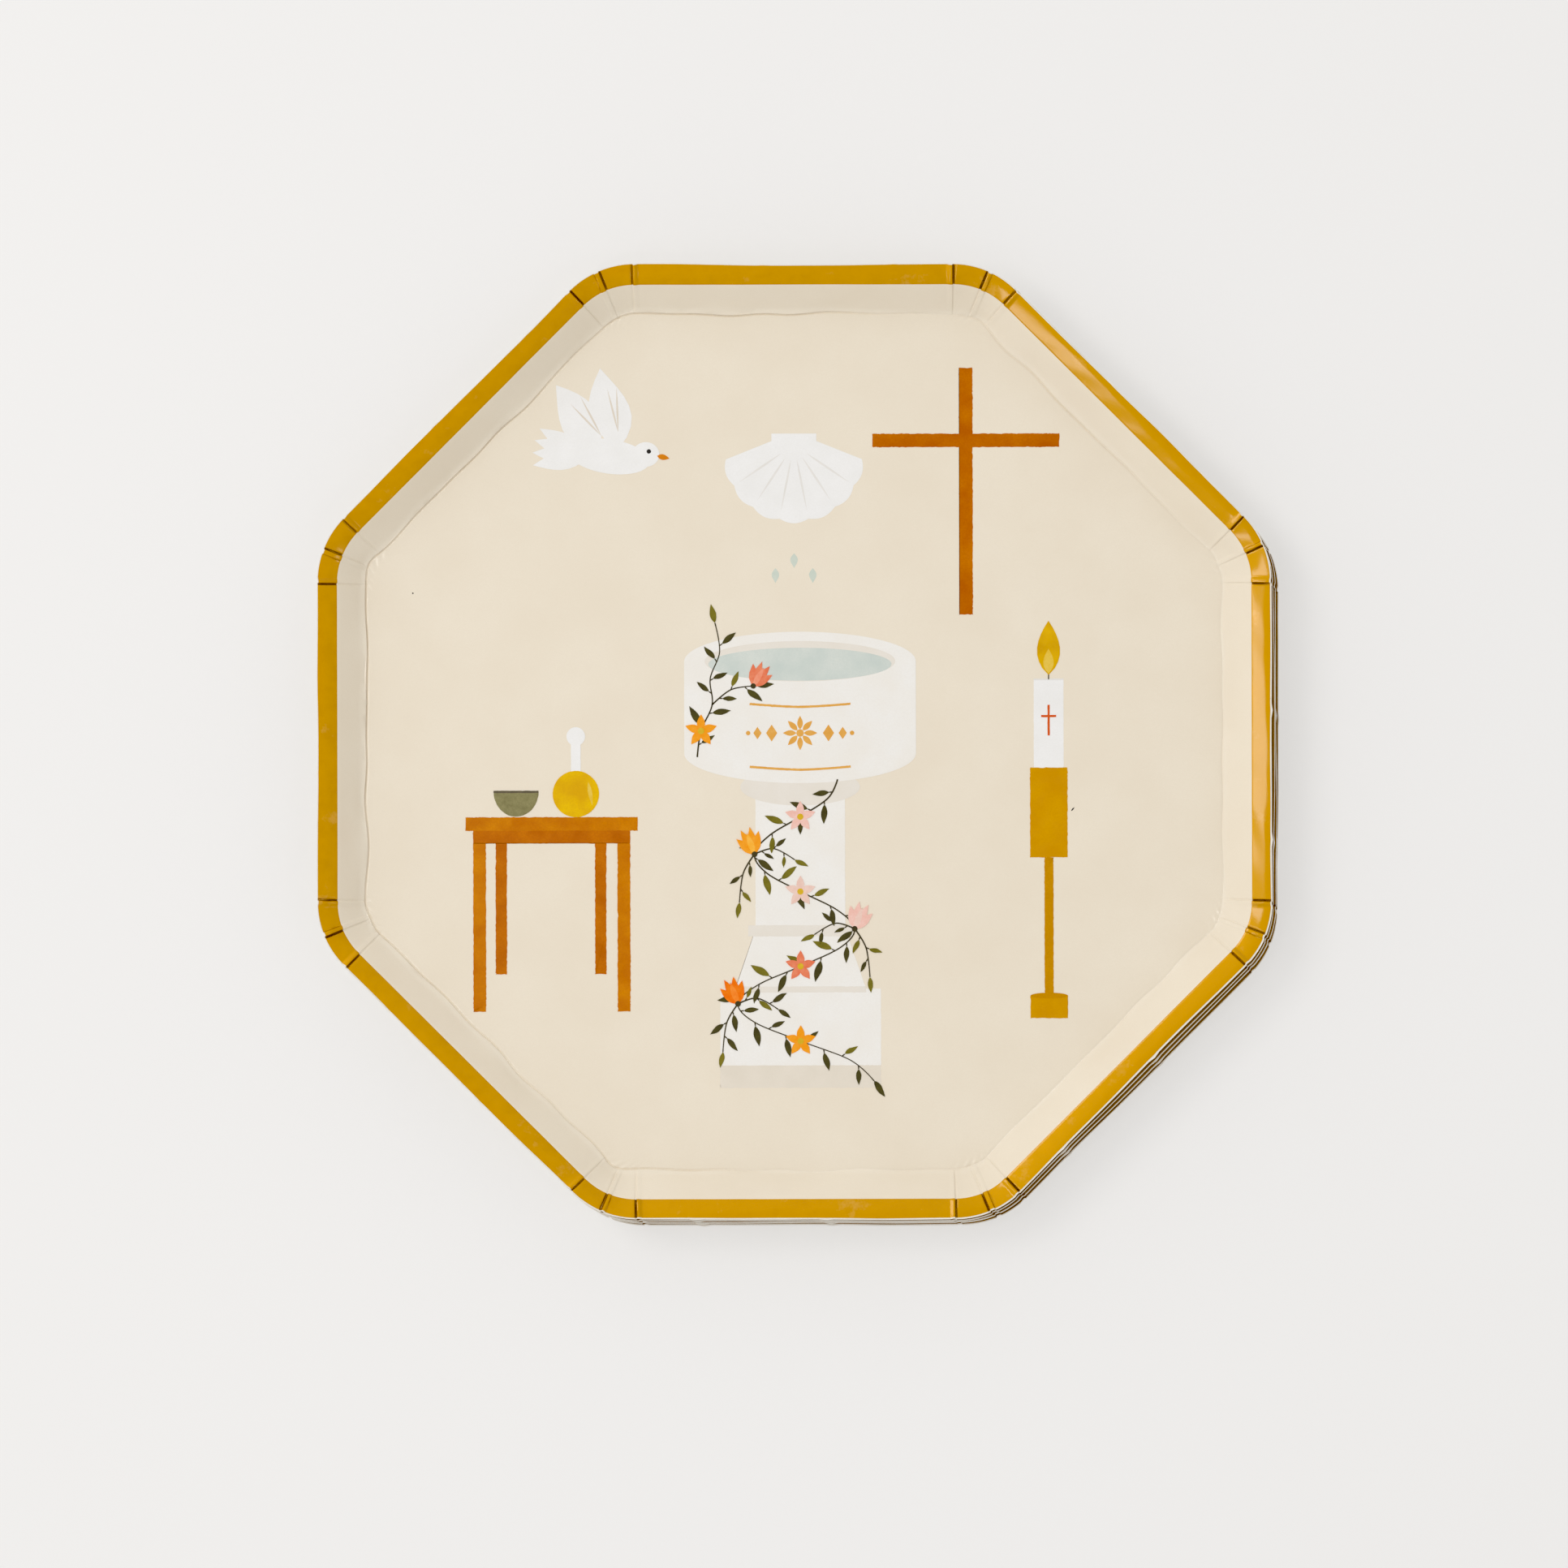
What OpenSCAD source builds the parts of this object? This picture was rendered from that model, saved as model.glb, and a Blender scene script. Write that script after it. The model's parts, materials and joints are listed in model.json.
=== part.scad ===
// Stack of nested octagonal party plates, pressed from paperboard.
// Each plate is a board, a printed face laid on it and a foil band round its lip.
// Millimetres, +Z up, origin in the middle of the lowest plate's underside.

/* [Stack] */
// Number of plates in the stack
plate_count = 4; // [1:1:8]
// How far each plate lies to the left of the one below
step_left = 0.75; // [0:0.05:1.5]
// How far each plate lies behind the one below
step_back = 0.68; // [0:0.05:1.5]
// How far every second plate is turned, in degrees
stack_twist = 0.12; // [0:0.02:0.4]
// Free height left between one plate and the next
nest_gap = 0.3; // [0.1:0.05:1]

/* [Plate] */
// Width across the flats, over the lips
plate_w = 254; // [180:1:320]
// Height of one plate
rim_h = 10; // [7:0.5:14]
// Width of the sloped wall, seen from above
wall_w = 6.9; // [6:0.1:9]
// Width of the lip, seen from above
lip_w = 5.3; // [4:0.1:7]
// Outer radius of the rounded corners
corner_r = 24.5; // [20:0.5:40]

/* [Sheets] */
// Thickness of the paperboard
board_t = 0.45; // [0.3:0.05:0.8]
// Thickness of the printed face and of the foil
face_t = 0.1; // [0.05:0.01:0.2]
// Bare board left outside the foil band
foil_margin = 0.35; // [0.2:0.05:0.6]

/* [Pressing] */
// How far the bend at the foot of the wall runs to each side of the crease
crease_run = 0.7; // [0.4:0.1:1.2]
// How far the bend between wall and lip runs to each side of the knee
knee_run = 0.45; // [0.4:0.05:0.6]
// How far the lip rises from the knee to its crown
lip_rise = 1.1; // [0.5:0.1:1.5]
// How far the cut edge drops below the crown
edge_drop = 0.25; // [0.05:0.05:0.5]

/* [Hidden] */
SIDES = 8;
SIDE_DEG = 360 / SIDES;
// Flat facets round each corner: every second edge between them lies on a pleat
CORNER_STEPS = 4;
BEND_STEPS = 2;
// Share of the lip's width between the knee and the crown
CROWN_SHARE = 0.6;
// Share of the foil outside the crown that the bend over the crown takes up
CROWN_BEND_SHARE = 0.7;
// How far the flat middle of a sheet stays inside the crease
SLAB_MARGIN = 4;

sheet_t = board_t + face_t;
edge_a = plate_w / 2;
lip_a = edge_a - lip_w;
floor_a = lip_a - wall_w;
core_a = edge_a - corner_r;
wall_deg = atan((rim_h - lip_rise - sheet_t) / wall_w);
crown_run = ((1 - CROWN_SHARE) * lip_w - foil_margin) * CROWN_BEND_SHARE;

// A plate clears the one below by the free height once its wall's thickness, the sideways
// step and the twist at the ends of a side are allowed for.
sideways = norm([step_left, step_back]) + edge_a * tan(SIDE_DEG / 2) * sin(stack_twist);
nest_pitch = sheet_t / cos(wall_deg) + sideways * tan(wall_deg) + nest_gap;

function unit(v) = v / norm(v);

// Points of a round bend at corner b, on the way from a to c, that runs to each side of it
function bend(a, b, c, run) =
    let (
        back = unit(a - b),
        on = unit(c - b),
        half = acos(back * on) / 2,
        centre = b + unit(back + on) * run / cos(half),
        radius = run * tan(half),
        first = b + back * run - centre,
        start = atan2(first.y, first.x),
        turn = (180 - 2 * half) * sign(cross(-back, on)) / BEND_STEPS
    )
    [for (k = [0 : BEND_STEPS]) centre + radius * [cos(start + k * turn), sin(start + k * turn)]];

// The plate's upper surface in section, from the floor outwards: [distance from the middle, height]
middle = [0, sheet_t];
crease = [floor_a, sheet_t];
knee = [lip_a, rim_h - lip_rise];
crown = [lip_a + CROWN_SHARE * lip_w, rim_h];
edge = [edge_a, rim_h - edge_drop];
foil_end = edge + unit(crown - edge) * foil_margin;
show_line = concat(
    bend(middle, crease, knee, crease_run),
    bend(crease, knee, crown, knee_run),
    bend(knee, crown, edge, crown_run),
    [foil_end, edge]
);

// Places along that line: the middle of the knee and the end of the foil
LAST = len(show_line) - 1;
BORDER = 1 + BEND_STEPS + BEND_STEPS / 2;
FOIL_END = LAST - 1;

function normal(a, b) = let (d = unit(b - a)) [-d.y, d.x];

// The line at a depth below the upper surface; its first point stays on the floor's plane
function below(depth) = [
    for (i = [0 : LAST])
        let (
            before = i == 0 ? [0, 1] : normal(show_line[i - 1], show_line[i]),
            after = i == LAST ? before : normal(show_line[i], show_line[i + 1]),
            mitre = unit(before + after)
        )
        show_line[i] - (i == 0 ? [0, depth] : mitre * depth / (mitre * before))
];

// Outline of a sheet from place first to place last, between two depths
function sheet(first, last, top, bottom) =
    let (upper = below(top), lower = below(bottom))
    concat([for (i = [first : last]) upper[i]], [for (i = [last : -1 : first]) lower[i]]);

// Carries an outline round the octagon. A dish is closed across the middle by its first and
// last points; a band closes on itself.
module swept(outline, dish) {
    n = len(outline);
    rings = SIDES * (CORNER_STEPS + 1);
    points = [
        for (corner = [0 : SIDES - 1], step = [0 : CORNER_STEPS], p = outline)
            let (
                middle_deg = SIDE_DEG * (corner + 0.5),
                deg = SIDE_DEG * (corner + step / CORNER_STEPS),
                centre = core_a / cos(SIDE_DEG / 2) * [cos(middle_deg), sin(middle_deg)],
                at = centre + (p.x - core_a) * [cos(deg), sin(deg)]
            )
            [at.x, at.y, p.y]
    ];
    strips = [
        for (ring = [0 : rings - 1], i = [0 : n - (dish ? 2 : 1)])
            let (here = ring * n, next = (ring + 1) % rings * n, k = (i + 1) % n)
            [here + i, next + i, next + k, here + k]
    ];
    floors = [
        [for (ring = [rings - 1 : -1 : 0]) ring * n],
        [for (ring = [0 : rings - 1]) ring * n + n - 1]
    ];
    polyhedron(points, dish ? concat(strips, floors) : strips);
}

// Flat middle of a sheet, between two heights
module flat_middle(low, high) {
    translate([0, 0, low])
        rotate([0, 0, SIDE_DEG / 2])
            cylinder(r = (floor_a - SLAB_MARGIN) / cos(SIDE_DEG / 2), h = high - low, $fn = SIDES);
}

// Puts a plate in its place in the stack, counted from 1 at the bottom
module in_stack(i) {
    level = i - 1;
    translate([-step_left * level, step_back * level, nest_pitch * level])
        rotate([0, 0, stack_twist * (level % 2)])
            children();
}

module board(i) {
    color("white")
        in_stack(i) {
            swept(sheet(0, LAST, face_t, sheet_t), true);
            flat_middle(0, board_t);
        }
}

module printed_face(i) {
    color("antiquewhite")
        in_stack(i) {
            swept(sheet(0, BORDER, 0, face_t), true);
            flat_middle(board_t, sheet_t);
        }
}

module foil_rim(i) {
    color("goldenrod")
        in_stack(i) swept(sheet(BORDER, FOIL_END, 0, face_t), false);
}

for (i = [1 : plate_count]) {
    board(i);
    printed_face(i);
    foil_rim(i);
}
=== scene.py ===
"""Stack of nested octagonal party plates, pressed from paperboard, with a gold foil band round each lip.

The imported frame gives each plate's place. The sheets of a plate are remade finely here, with the pleats,
dents and cut edge that pressing leaves, and the printed picture lies on the floor as thin films of ink.
Lengths are millimetres until a mesh or an object is made; Blender gets metres. Only the lamps and the
table top are in metres from the start.
"""

import json
import math
import random

import bpy
import numpy as np
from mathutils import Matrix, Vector

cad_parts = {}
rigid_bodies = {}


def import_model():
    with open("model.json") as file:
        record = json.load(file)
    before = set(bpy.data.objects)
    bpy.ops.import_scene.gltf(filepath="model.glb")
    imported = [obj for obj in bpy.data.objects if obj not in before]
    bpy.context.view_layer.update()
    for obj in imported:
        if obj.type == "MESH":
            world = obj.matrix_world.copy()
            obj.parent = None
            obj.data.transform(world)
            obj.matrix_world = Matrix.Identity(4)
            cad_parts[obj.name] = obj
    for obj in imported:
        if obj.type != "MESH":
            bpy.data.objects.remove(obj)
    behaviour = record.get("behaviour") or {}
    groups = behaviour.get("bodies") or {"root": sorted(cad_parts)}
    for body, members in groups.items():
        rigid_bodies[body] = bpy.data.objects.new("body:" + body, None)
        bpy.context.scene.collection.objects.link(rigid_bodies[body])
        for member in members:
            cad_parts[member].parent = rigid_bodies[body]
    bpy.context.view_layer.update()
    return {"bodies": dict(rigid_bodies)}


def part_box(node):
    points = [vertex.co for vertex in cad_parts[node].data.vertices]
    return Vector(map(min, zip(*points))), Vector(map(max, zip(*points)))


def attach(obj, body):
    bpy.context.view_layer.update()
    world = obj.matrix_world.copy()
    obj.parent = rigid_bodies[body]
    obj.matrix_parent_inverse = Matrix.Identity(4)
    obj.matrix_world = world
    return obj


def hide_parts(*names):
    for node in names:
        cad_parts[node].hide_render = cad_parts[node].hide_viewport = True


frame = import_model()
MM = 0.001
scene = bpy.context.scene

# ------------------------------------------------ the plate

SIDES = 8
SIDE_DEG = 360 / SIDES
EDGE = 127.0  # middle of the plate to the cut edge of a side
LIP = 121.7  # to the knee, where the wall turns into the lip
FLOOR = 114.8  # to the crease, at the foot of the wall
CORE = 102.5  # to the centres of the corner arcs
HEIGHT = 10.0
BOARD = 0.45
FACE = 0.1
SHEET = BOARD + FACE
FOIL_MARGIN = 0.35  # bare board outside the foil
LIP_RISE = 1.1  # the knee is this far under the top
BROW_DROP = 0.4  # the lip flattens at its brow, this far under the top, and still rises to the edge
BROW_SHARE = 0.5  # where the brow is, as a share of the lip's width
EDGE_DROP = 0.05  # the cut edge is this far under the top
EDGE_SLANT = 0.06  # the cut leaves the under side this much wider
TWIST = math.radians(0.12)  # plates 2 and 4 lie turned by this
PLATES = list(frame["bodies"])

# how far each bend of the section runs to both sides of its corner
CREASE_RUN = 0.45
KNEE_RUN = 0.45
BROW_RUN = 1.6

# how many steps each stretch of the section takes, from the floor outwards
FLOOR_START = 9.0  # the swept part of the floor starts this far inside the crease
FLOOR_STEPS = 4
FINE_START = 2.4  # and its steps are short from this far inside the crease
FINE_STEPS = 11
FOOT_STEPS = 6
WALL_STEPS = 8
KNEE_STEPS = 4
LIP_STEPS = 3
BROW_STEPS = 5
OUTER_STEPS = 2

# how the section is repeated round a corner
ARC_RADIUS = 20.0  # distances round a corner are measured on an arc of this radius
ARC = ARC_RADIUS * math.radians(SIDE_DEG)
HALF_SIDE = CORE * math.tan(math.radians(SIDE_DEG / 2))
SIDE_STATIONS = 22
ARC_STATIONS = 20
BY_PLEAT = (0.06, 0.14, 0.24, 0.38, 0.55, 0.8, 1.1, 1.35, 1.6, 2.0)  # extra ones this far from each pleat
STATION_GAP = 0.05  # no two of them stand closer than this

# the pleats: where they are as shares of a corner's arc, and the ranges that their sizes are drawn from
PLEATS = (0.0, 0.5, 1.0)
MIDDLE_PLEAT = {"height": (0.34, 0.42), "width": (0.9, 1.2), "back": 0.3}
OUTER_PLEAT = {"height": (0.22, 0.34), "width": (0.35, 0.7), "back": 1.1}
PLEAT_FLANK = (-0.04, 0.12)  # where the steep flank starts and ends
GROOVE_DEPTH = (0.16, 0.28)
GROOVE_AT = -0.26  # middle of the groove beside the steep flank
GROOVE_WIDTH = 0.2
PLEAT_LEAN = 0.5  # how far a pleat slants on its way out, on the die
OWN_LEAN = 0.1  # and on each plate besides
ON_WALL = 0.4  # a pleat's height on the wall, as a share of its height on the lip

# the rest of the pressing
LIP_WAVES = 0.13  # the lip's slow ups and downs
FACET_TILT = 0.2  # how far the two facets of a corner tip up or down at the edge
DENT_DEPTH = 0.05  # shallow dents all over the wall
CREASE_WANDER = 0.45  # how far the crease leaves its line
BEAD_WANDER = 0.15  # and the bead leaves the crease
BEAD_HEIGHT = 0.4
BEAD_WIDTH = 0.28
CRACK_DEPTH = 0.38
CRACK_WIDTH = 0.2
STRONG_SIDE = 2.7  # direction in radians where the bead is highest, to the left and a little behind
WRINKLE_HEIGHT = 0.12
OWN_WAVES = 0.02  # what each plate has besides
OUTLINE_WAVES = 0.12  # the outline of every blank
CUT_WAVES = 0.2  # and of each by itself
PLEAT_TAKE = 0.6  # the outline is drawn in by this share of a pleat's height
NICK_LENGTH = 0.32
NICK_WIDTH = 0.6
NICK_REACH = 1.1  # a stub ends this far to the sides of its middle
NICK_STRAY = 0.5  # how far a stub's place varies
NICKS = (-HALF_SIDE + 8, ARC + HALF_SIDE - 26)  # where the stubs are, round a corner

# the foil of each plate is stamped this far off the middle, to the right and to the back
FOIL_SHIFTS = {
    "plate_1": (0.1, 0.02),
    "plate_2": (0.14, 0.09),
    "plate_3": (0.13, 0.05),
    "plate_4": (-0.1, 0.12),
}
FOIL_OUT = 0.1  # and this far out all round
FOIL_WAVES = 0.05

SHARP_DEG = 38  # an edge that turns by more than this is shaded sharp


def unit(v):
    """A vector of length one."""
    v = np.asarray(v, float)
    return v / np.linalg.norm(v)


def step(value, start, end):
    """Smooth step from 0 at start to 1 at end."""
    t = np.clip((value - start) / (end - start), 0, 1)
    return t * t * (3 - 2 * t)


def bump(value, middle, width):
    """Smooth hump of height 1."""
    return np.exp(-(((value - middle) / width) ** 2))


def ripple(turn, seed, lowest, highest):
    """Seeded waviness that closes on itself, with about 1 as its largest value."""
    rng = random.Random(seed)
    total = np.zeros_like(turn)
    for waves in range(lowest, highest + 1):
        total += rng.uniform(0.3, 1) * np.sin(waves * turn + rng.uniform(0, math.tau))
    return total / math.sqrt(highest - lowest + 1)


def bend(before, corner, after, run, steps):
    """Points of a round bend at a corner, running to each side of it."""
    before, corner, after = (np.asarray(p, float) for p in (before, corner, after))
    back = unit(before - corner)
    on = unit(after - corner)
    half = math.acos(float(back @ on)) / 2
    centre = corner + unit(back + on) * run / math.cos(half)
    first = corner + back * run - centre
    turn = (2 * half - math.pi) * np.sign(on[1] * back[0] - on[0] * back[1])
    points = []
    for i in range(steps + 1):
        a = turn * i / steps
        c, s = math.cos(a), math.sin(a)
        points.append(centre + [first[0] * c - first[1] * s, first[0] * s + first[1] * c])
    return points


def straight(a, b, steps):
    """Points between a and b, without either of them."""
    a, b = np.asarray(a, float), np.asarray(b, float)
    return [a + (b - a) * i / steps for i in range(1, steps)]


def upper_line():
    """The upper surface in section, from the floor outwards, with the places of the border and foil end."""
    start = (FLOOR - FLOOR_START, SHEET)
    near = (FLOOR - FINE_START, SHEET)
    crease = (FLOOR, SHEET)
    knee = (LIP, HEIGHT - LIP_RISE)
    brow_at = (LIP + BROW_SHARE * (EDGE - LIP), HEIGHT - BROW_DROP)
    edge = np.array((EDGE, HEIGHT - EDGE_DROP))
    foil_end = edge + unit(np.array(brow_at) - edge) * FOIL_MARGIN
    foot = bend(start, crease, knee, CREASE_RUN, FOOT_STEPS)
    top = bend(crease, knee, brow_at, KNEE_RUN, KNEE_STEPS)
    brow = bend(knee, brow_at, edge, BROW_RUN, BROW_STEPS)
    top_middle = KNEE_STEPS // 2 + 1
    line = [np.array(start)] + straight(start, near, FLOOR_STEPS) + [np.array(near)]
    line += straight(near, foot[0], FINE_STEPS) + foot
    line += straight(foot[-1], top[0], WALL_STEPS) + top[:top_middle]
    border = len(line) - 1
    line += top[top_middle:] + straight(top[-1], brow[0], LIP_STEPS) + brow
    line += straight(brow[-1], foil_end, OUTER_STEPS) + [foil_end]
    foil_end_at = len(line) - 1
    line += [(foil_end + edge) / 2, edge]
    return np.array(line), border, foil_end_at


LINE, BORDER, FOIL_END = upper_line()
LAST = len(LINE) - 1
DISTANCE, RISE = LINE[:, 0], LINE[:, 1]


def line_normals():
    """Unit normals of the section line, up and towards the middle."""
    along = np.gradient(LINE, axis=0)
    along[0] = (1, 0)
    along /= np.linalg.norm(along, axis=1)[:, None]
    return np.stack([-along[:, 1], along[:, 0]], axis=1)


NORMALS = line_normals()


def corner_places():
    """Distances round one corner, from the middle of a side to the middle of the next, close together
    at the pleats."""
    places = list(np.linspace(-HALF_SIDE, 0, SIDE_STATIONS)[:-1])
    places += list(np.linspace(0, ARC, ARC_STATIONS))
    places += list(np.linspace(ARC, ARC + HALF_SIDE, SIDE_STATIONS)[1:-1])
    for share in PLEATS:
        places += [ARC * share + sign * d for d in BY_PLEAT for sign in (-1, 1)]
    places = sorted(places)
    kept = places[:1]
    for p in places[1:]:
        if p - kept[-1] > STATION_GAP:
            kept.append(p)
    return np.array(kept)


def stations():
    """Where the section is set up round the whole plate: point, outward direction, distance round the
    corner, the corner's number and the turn round the plate."""
    places = corner_places()
    points, outward, around, number = [], [], [], []
    for corner in range(SIDES):
        start = math.radians(SIDE_DEG * corner)
        middle = start + math.radians(SIDE_DEG / 2)
        reach = CORE / math.cos(math.radians(SIDE_DEG / 2))
        centre = reach * np.array((math.cos(middle), math.sin(middle)))
        angle = start + np.clip(places, 0, ARC) / ARC_RADIUS
        beyond = np.minimum(places, 0) + np.maximum(places - ARC, 0)
        points.append(centre + beyond[:, None] * np.stack([-np.sin(angle), np.cos(angle)], axis=1))
        outward.append(np.stack([np.cos(angle), np.sin(angle)], axis=1))
        around.append(places)
        number.append(np.full(len(places), corner))
    points, outward = np.concatenate(points), np.concatenate(outward)
    rim = points + (EDGE - CORE) * outward
    turn = np.arctan2(rim[:, 1], rim[:, 0])
    return points, outward, np.concatenate(around), np.concatenate(number), turn


AT, OUT, AROUND, CORNER, TURN = stations()


def arc_distance():
    """Distance round the corner of every point of every station, at that point's own radius."""
    radius = (DISTANCE - CORE)[None, :]
    on_arc = np.clip(AROUND, 0, ARC)[:, None] * radius / ARC_RADIUS
    beyond = np.minimum(AROUND, 0) + np.maximum(AROUND - ARC, 0)
    return on_arc + beyond[:, None]


def pleats(seed):
    """How far the pleats lift the sheet and how deep the groove beside each of them is."""
    lift = np.zeros((len(AT), len(DISTANCE)))
    groove = np.zeros_like(lift)
    distance = arc_distance()
    radius = (DISTANCE - CORE)[None, :]
    on_wall = step(DISTANCE, FLOOR - 1.2, FLOOR + 2.0)
    reach = (ON_WALL * on_wall + (1 - ON_WALL) * step(DISTANCE, LIP - 1.0, LIP + 0.8))[None, :]
    groove_reach = 0.3 * on_wall[None, :] + reach
    die = random.Random("die")
    own = random.Random(seed)
    for corner in range(SIDES):
        here = (CORNER == corner)[:, None]
        for share in PLEATS:
            kind = MIDDLE_PLEAT if share == 0.5 else OUTER_PLEAT
            side = die.choice((-1, 1))
            height = die.uniform(*kind["height"])
            width = die.uniform(*kind["width"])
            depth = die.uniform(*GROOVE_DEPTH)
            lean = die.uniform(-PLEAT_LEAN, PLEAT_LEAN) + own.uniform(-OWN_LEAN, OWN_LEAN)
            place = share * ARC * radius / ARC_RADIUS + lean * (DISTANCE - FLOOR)[None, :] / (EDGE - FLOOR)
            across = side * (distance - place)
            fold = step(across, *PLEAT_FLANK) - step(across, width, width + kind["back"])
            lift += here * reach * height * fold
            groove += here * groove_reach * depth * bump(across, GROOVE_AT, GROOVE_WIDTH)
    return lift, groove


def pressed_shape(seed):
    """How far each point of the upper and of the under side moves along its normal, and outwards."""
    lift, groove = pleats(seed)
    turn = TURN[:, None]
    own = random.Random(seed).random()
    lip = step(DISTANCE, FLOOR, LIP)[None, :]
    out_on_lip = np.clip((DISTANCE - LIP) / (EDGE - LIP), 0, 1)[None, :]

    # the die's own unevenness, the same on every plate, so that the plates nest
    waves = LIP_WAVES * ripple(turn, "lip", 3, 14) * out_on_lip
    on_corner = ((AROUND > 0) & (AROUND < ARC))[:, None]
    facet = np.floor(np.clip(AROUND / ARC, 0, 0.999) * 2)[:, None] + 2 * CORNER[:, None]
    fade = step(np.abs(AROUND - ARC / 2), ARC / 2, ARC / 2 - 1)[:, None]
    waves += FACET_TILT * (np.sin(facet * 2.4 + 1.3) * on_corner * fade) * out_on_lip
    dents = DENT_DEPTH * np.sin(turn * 37 + DISTANCE * 0.9) * ripple(turn, "dents", 9, 30)
    dents = dents * lip * (1 - out_on_lip)

    # the bead and the crack that the press leaves at the wandering crease, strongest on one side
    crease_shift = CREASE_WANDER * ripple(turn, "bead", 9, 50)
    wander = BEAD_WANDER * ripple(turn, "bead on crease", 20, 60)
    strength = 0.55 + 0.4 * np.cos(turn - STRONG_SIDE) + 0.3 * ripple(turn, "strength", 3, 11)
    strength = np.clip(strength, 0.12, 1)
    bead = BEAD_HEIGHT * strength * bump(DISTANCE[None, :], FLOOR + 0.15 + wander, BEAD_WIDTH)
    crack = CRACK_DEPTH * strength * bump(DISTANCE[None, :], FLOOR - 0.32 + wander, CRACK_WIDTH)

    # wrinkles that run from the pleats a little way onto the floor
    nearness = bump(AROUND, ARC / 2, 9)[:, None]
    folds = 0.5 + 0.5 * np.sin(arc_distance() * 2.6 + DISTANCE * 1.7)
    wrinkles = WRINKLE_HEIGHT * folds * nearness * bump(DISTANCE, FLOOR - 0.6, 1.7)

    own_waves = OWN_WAVES * ripple(turn, f"{seed}own", 4, 20) * lip * (1 + own)
    along = waves + dents + bead + wrinkles + own_waves
    edge_only = step(DISTANCE, LIP, EDGE)[None, :]
    outwards = OUTLINE_WAVES * ripple(turn, "outline", 3, 24) * edge_only
    outwards += CUT_WAVES * ripple(turn, f"{seed}cut", 2, 12) * edge_only
    outwards -= PLEAT_TAKE * lift * edge_only
    outwards += crease_shift * bump(DISTANCE, FLOOR, 2.2)[None, :]
    outwards += nicks(seed)
    return along + lift - groove - crack, along + 0.5 * lift, outwards


def nicks(seed):
    """The torn stubs that held the blank in its sheet while it was cut."""
    rng = random.Random(f"{seed}nicks")
    total = np.zeros((len(AT), len(DISTANCE)))
    at_edge = step(DISTANCE, EDGE - 0.5, EDGE)[None, :]
    for corner in range(SIDES):
        for middle in NICKS:
            place = middle + rng.uniform(-NICK_STRAY, NICK_STRAY)
            here = (CORNER == corner) & (np.abs(AROUND - place) < NICK_REACH)
            total += NICK_LENGTH * (here * bump(AROUND, place, NICK_WIDTH))[:, None] * at_edge
    return total


def foil_shift(plate):
    """How far each point slides along the surface, because the foil isn't stamped quite in the middle."""
    off = OUT @ np.array(FOIL_SHIFTS[plate]) + FOIL_OUT + FOIL_WAVES * ripple(TURN, "stamp", 5, 40)
    outer = step(DISTANCE, LIP, DISTANCE[FOIL_END])
    return off[:, None] * outer[None, :]


def sheet_mesh(name, plate, first, last, top, bottom, dish):
    """One closed sheet between two depths under the upper surface. A dish has a floor, a band has none."""
    up, under, outwards = pressed_shape(plate)
    board = bottom >= SHEET
    slide = np.zeros_like(up) if dish else foil_shift(plate)
    slant = EDGE_SLANT * board * (np.arange(len(DISTANCE)) == LAST)
    shown = surface(up, outwards, top, slide)[:, first : last + 1]
    hidden = surface(under if board else up, outwards + slant, bottom, slide)[:, first : last + 1]
    ring = np.concatenate([shown, hidden[:, ::-1]], axis=1)
    count, n, _ = ring.shape
    here = np.arange(count)[:, None] * n + np.arange(n)[None, :]
    ahead = np.roll(here, -1, axis=0)
    keep = n - 1 if dish else n
    faces = np.stack([here, ahead, np.roll(ahead, -1, axis=1), np.roll(here, -1, axis=1)], axis=2)
    polygons = faces[:, :keep].reshape(-1, 4)[:, ::-1].tolist()
    if dish:
        polygons += [here[:, 0].tolist(), here[::-1, n - 1].tolist()]
    mesh = bpy.data.meshes.new(name)
    mesh.from_pydata((ring.reshape(-1, 3) * MM).tolist(), [], polygons)
    mesh.shade_smooth()
    mesh.set_sharp_from_angle(angle=math.radians(SHARP_DEG))
    return mesh


def surface(moved, outwards, depth, slide):
    """Points of every station at a depth under the upper surface, after sliding along it."""
    normal_move = moved - depth
    out = DISTANCE + NORMALS[:, 0] * normal_move + NORMALS[:, 1] * slide + outwards - CORE
    height = RISE + NORMALS[:, 1] * normal_move - NORMALS[:, 0] * slide
    flat = AT[:, None, :] + out[:, :, None] * OUT[:, None, :]
    return np.concatenate([flat, height[:, :, None]], axis=2)


# ------------------------------------------------ materials

SWING = (0.3, 0.7)  # noise seldom leaves this range
CORE_SWING = (0.34, 0.66)  # this one gives it more contrast
MIX_FIRST, MIX_SECOND, MIX_RESULT = 6, 7, 2  # the colour sockets of a Mix node


def linear(red, green, blue):
    """An sRGB colour of 0 to 255 as the linear colour that shaders take."""
    channels = []
    for value in (red, green, blue):
        v = value / 255
        channels.append(v / 12.92 if v <= 0.04045 else ((v + 0.055) / 1.055) ** 2.4)
    return (*channels, 1)


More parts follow.
